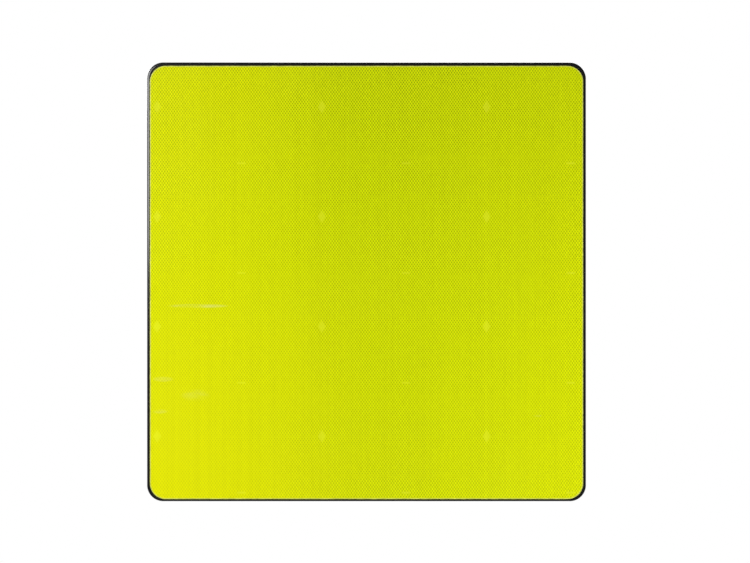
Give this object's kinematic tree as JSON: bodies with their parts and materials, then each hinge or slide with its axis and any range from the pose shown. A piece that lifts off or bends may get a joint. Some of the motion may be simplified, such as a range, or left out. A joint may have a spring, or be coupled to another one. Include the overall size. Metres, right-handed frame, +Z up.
{
  "type": "sign panel",
  "caption": "Square traffic sign panel with a folded black edge, blank fluorescent yellow-green reflective sheeting, rear slotted rails and sliding post clamps.",
  "frame": {"origin": "on the axis of the round post that the clamps hold, at the sign's mid-height", "axes": "+Z up along the post, the sign's face looks along -Y, +Y is behind the sign, +X is to the right as the face is seen"},
  "size_m": [0.6, 0.1115, 0.6],
  "materials": {
    "black_powder_coat": "gloss",
    "yellow_green_sheeting": "gloss",
    "extruded_aluminium": "satin",
    "clamp_aluminium": "matte",
    "aluminium_stud": "satin",
    "zinc_plated_steel": "satin",
    "black_plastic": "matte"
  },
  "bodies": {
    "panel": {"sign_panel": "black_powder_coat", "reflective_sheeting": "yellow_green_sheeting", "upper_rail": "extruded_aluminium", "lower_rail": "extruded_aluminium", "upper_rail_studs": "aluminium_stud", "lower_rail_studs": "aluminium_stud", "upper_rail_washers": "zinc_plated_steel", "lower_rail_washers": "zinc_plated_steel", "upper_rail_nuts": "zinc_plated_steel", "lower_rail_nuts": "zinc_plated_steel", "upper_left_end_cap": "black_plastic", "upper_right_end_cap": "black_plastic", "lower_left_end_cap": "black_plastic", "lower_right_end_cap": "black_plastic"},
    "upper_clamp": {"upper_clamp_saddle": "clamp_aluminium", "upper_clamp_bolts": "zinc_plated_steel"},
    "upper_strap": {"upper_clamp_strap": "clamp_aluminium", "upper_clamp_washers": "zinc_plated_steel"},
    "upper_left_nut": {"upper_left_clamp_nut": "zinc_plated_steel"},
    "upper_right_nut": {"upper_right_clamp_nut": "zinc_plated_steel"},
    "lower_clamp": {"lower_clamp_saddle": "clamp_aluminium", "lower_clamp_bolts": "zinc_plated_steel"},
    "lower_strap": {"lower_clamp_strap": "clamp_aluminium", "lower_clamp_washers": "zinc_plated_steel"},
    "lower_left_nut": {"lower_left_clamp_nut": "zinc_plated_steel"},
    "lower_right_nut": {"lower_right_clamp_nut": "zinc_plated_steel"}
  },
  "joints": [
    {"name": "upper_clamp_slide", "type": "slide", "parent": "panel", "child": "upper_clamp", "axis": [1, 0, 0], "range_m": [-0.18, 0.18]},
    {"name": "upper_strap_draw", "type": "slide", "parent": "upper_clamp", "child": "upper_strap", "axis": [0, 1, 0], "range_m": [0, 0.012]},
    {"name": "upper_left_nut_turn", "type": "hinge", "parent": "upper_strap", "child": "upper_left_nut", "pos_m": [-0.05805, 0, 0.15], "axis": [0, 1, 0], "range_deg": [0, 3456]},
    {"name": "upper_right_nut_turn", "type": "hinge", "parent": "upper_strap", "child": "upper_right_nut", "pos_m": [0.05805, 0, 0.15], "axis": [0, 1, 0], "range_deg": [0, 3456]},
    {"name": "lower_clamp_slide", "type": "slide", "parent": "panel", "child": "lower_clamp", "axis": [1, 0, 0], "range_m": [-0.18, 0.18]},
    {"name": "lower_strap_draw", "type": "slide", "parent": "lower_clamp", "child": "lower_strap", "axis": [0, 1, 0], "range_m": [0, 0.012]},
    {"name": "lower_left_nut_turn", "type": "hinge", "parent": "lower_strap", "child": "lower_left_nut", "pos_m": [-0.05805, 0, -0.15], "axis": [0, 1, 0], "range_deg": [0, 3456]},
    {"name": "lower_right_nut_turn", "type": "hinge", "parent": "lower_strap", "child": "lower_right_nut", "pos_m": [0.05805, 0, -0.15], "axis": [0, 1, 0], "range_deg": [0, 3456]}
  ],
  "couplings": [
    {"joint": "upper_left_nut_turn", "follows": "upper_strap_draw", "rad_per_m": 5026.5},
    {"joint": "upper_right_nut_turn", "follows": "upper_strap_draw", "rad_per_m": 5026.5},
    {"joint": "lower_left_nut_turn", "follows": "lower_strap_draw", "rad_per_m": 5026.5},
    {"joint": "lower_right_nut_turn", "follows": "lower_strap_draw", "rad_per_m": 5026.5}
  ]
}
